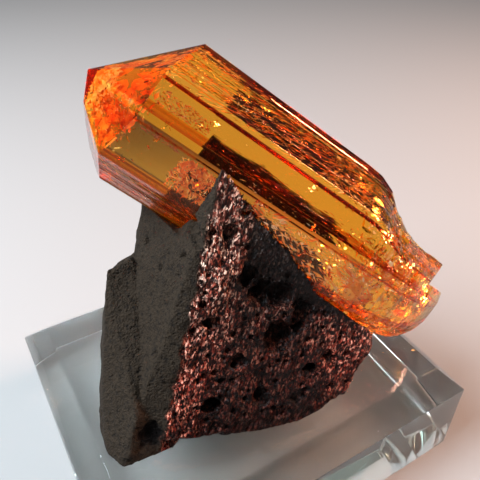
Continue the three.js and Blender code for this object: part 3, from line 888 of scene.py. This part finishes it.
def rock_colour(material, place, broken, grain):
    """Near black where weathered, red-brown to cream grains where broken, with painted light and shade on
    those grains, and near black painted shade in the gas pockets and in the crystal's shadow.
    """
    tone = add_node(material, "ShaderNodeSeparateColor", {0: grain.outputs["Color"]})
    grains = add_ramp(material, tone.outputs[0], [
        (0.0, "#140b09"), (0.38, "#451c12"), (0.68, "#b05c4a"), (0.93, "#ffdcc4")])
    # painted light on the broken face's grains along its edge and right end, darker towards the bottom
    shade = add_ramp(material, add_attribute(material, "glitter_and_painted_light"), [
        (0.0, "#2c2422"), (0.45, "#d8c8c0"), (1.0, "#ffffff")])
    clumps = add_noise(material, place, 0.9, 3.0)
    gaps = add_ramp(material, clumps.outputs["Fac"], [(0.4, "#5c5452"), (0.56, "#ffffff")])
    height = add_node(material, "ShaderNodeSeparateXYZ", {0: place}).outputs["Z"]
    up = add_node(material, "ShaderNodeMapRange", {
        "Value": height, "From Min": 40 * MM, "From Max": 62 * MM})
    redder = add_ramp(material, up.outputs[0], [(0.0, "#eab2a8"), (1.0, "#ffffff")])
    patches = add_product(material, gaps, add_product(material, shade, redder))
    glitter = add_product(material, grains, patches)
    dull = add_noise(material, place, 0.8, 6.0, 0.7)
    weathered = add_ramp(material, dull.outputs["Fac"], [
        (0.36, "#0c0907"), (0.44, "#221b13"), (0.7, "#2e251b")])
    open_face = add_mix(material, broken, weathered, glitter)
    # painted shade: near black in the gas pockets, the cave and the crystal's shadow
    return add_mix(material, add_attribute(material, "painted_shade"), open_face, linear("#0c0807"))


def rock_relief(material, place, broken, grain, where):
    """A tilted facet for each grain where broken, and a fine soft grain elsewhere."""
    facing = add_node(material, "ShaderNodeVectorMath", {
        0: grain.outputs["Color"], 1: (0.5, 0.5, 0.5)}, operation="SUBTRACT")
    offset = add_node(material, "ShaderNodeVectorMath", {
        0: where, 1: grain.outputs["Position"]}, operation="SUBTRACT")
    facet = add_node(material, "ShaderNodeVectorMath", {
        0: facing.outputs[0], 1: offset.outputs[0]}, operation="DOT_PRODUCT").outputs["Value"]
    fine = add_noise(material, place, 0.4, 4.0)
    soft = add_node(material, "ShaderNodeMath", {0: fine.outputs["Fac"], 1: 0.4 * MM}, operation="MULTIPLY")
    relief = add_node(material, "ShaderNodeMix", {0: broken, 2: soft.outputs[0], 3: facet}).outputs[0]
    return add_node(material, "ShaderNodeBump", {"Height": relief, "Strength": 1.0, "Distance": 1.6})


def basalt():
    """Vesicular volcanic rock: dull where weathered, glittering with small facets where broken."""
    material, output = new_material("volcanic_rock")
    place = add_object_place(material)
    broken = add_attribute(material, "broken")
    grain, where = rock_grains(material, place)
    bump = rock_relief(material, place, broken, grain, where)
    shine = add_node(material, "ShaderNodeMath", {0: broken, 1: -0.4, 2: 0.85}, operation="MULTIPLY_ADD")
    surface = add_node(material, "ShaderNodeBsdfPrincipled", {
        "Base Color": rock_colour(material, place, broken, grain), "Roughness": shine.outputs[0],
        "Specular IOR Level": 0.15, "Normal": bump.outputs["Normal"]})
    return finish_material(material, output, surface)


def pale_floor():
    """A matt pale table top."""
    material, output = new_material("pale_table")
    surface = add_node(material, "ShaderNodeBsdfPrincipled", {
        "Base Color": linear("#8d8e8d"), "Roughness": 0.8})
    return finish_material(material, output, surface)


# ------------------------------------------------------------------ camera, light and floor

CAMERA_AZIMUTH = 30.963
CAMERA_DOWN = 37.313
CAMERA_ROLL = -0.308
FOCAL_LENGTH = 40.96
SENSOR = 36.0
LIGHT_AIM = Vector((0, 0, 50))  # what the lights point at, in the middle of the object


def build_camera():
    """The camera, turned clockwise from +Y, then down, then rolled about its view."""
    data = bpy.data.cameras.new("camera")
    data.lens = FOCAL_LENGTH
    data.sensor_width = SENSOR
    data.clip_start = 0.001
    camera = bpy.data.objects.new("camera", data)
    bpy.context.scene.collection.objects.link(camera)
    turn = Matrix.Rotation(math.radians(-CAMERA_AZIMUTH), 4, "Z")
    tilt = Matrix.Rotation(math.radians(90 - CAMERA_DOWN), 4, "X")
    roll = Matrix.Rotation(math.radians(-CAMERA_ROLL), 4, "Z")
    camera.matrix_world = Matrix.Translation(CAMERA_PLACE * MM) @ turn @ tilt @ roll
    bpy.context.scene.camera = camera


def add_area_light(name, azimuth, height, distance, size, strength, code):
    """A square soft light, from an azimuth clockwise from +Y and a height, in degrees.

    Its strength is what falls on a sheet held square to it at the object, in watts per square metre.
    """
    data = bpy.data.lights.new(name, "AREA")
    data.size = size * MM
    data.energy = strength * math.pi * (distance * MM) ** 2
    data.color = linear(code)[:3]
    light = bpy.data.objects.new(name, data)
    bpy.context.scene.collection.objects.link(light)
    turn, lift = math.radians(azimuth), math.radians(height)
    way = Vector((math.cos(lift) * math.sin(turn), math.cos(lift) * math.cos(turn), math.sin(lift)))
    light.location = (way * distance + LIGHT_AIM) * MM
    light.rotation_euler = way.to_track_quat("Z", "Y").to_euler()


def build_stage():
    """The table top, a plain room that is paler above, and its two lights."""
    deselect_all()
    bpy.ops.mesh.primitive_plane_add(size=8.0, location=(0, 0, -0.0002))
    floor = bpy.context.active_object
    floor.name = "table"
    floor.data.materials.append(pale_floor())
    world = bpy.data.worlds.new("room")
    world.use_nodes = True
    bpy.context.scene.world = world
    way = add_node(world, "ShaderNodeTexCoord").outputs["Generated"]
    up = add_node(world, "ShaderNodeSeparateXYZ", {0: way}).outputs["Z"]
    sky = add_ramp(world, up, [(0.0, "#464848"), (0.5, "#464848"), (0.85, "#909494")])
    background = world.node_tree.nodes["Background"]
    world.node_tree.links.new(sky, background.inputs["Color"])
    add_area_light("window", -72, 50, 470, 310, 11.6, "#eef6ff")
    add_area_light("lamp", 108, 36, 420, 105, 5.4, "#ffc4a8")


def set_light_paths():
    """Light may cross many faces and flaws before it leaves the crystal."""
    cycles = bpy.context.scene.cycles
    cycles.max_bounces = 32
    cycles.transmission_bounces = 32
    cycles.glossy_bounces = 16
    cycles.sample_clamp_indirect = 30.0


def main():
    bpy.context.scene.view_settings.view_transform = "Standard"
    set_light_paths()
    build_camera()
    build_stage()
    stand_for(build_block(), "acrylic_block", acrylic())
    stand_for(build_rock(), "lava_rock", basalt())
    crystal, films = build_crystal()
    stand_for(crystal, "topaz_crystal", topaz())
    dress(films, stained_film())


main()
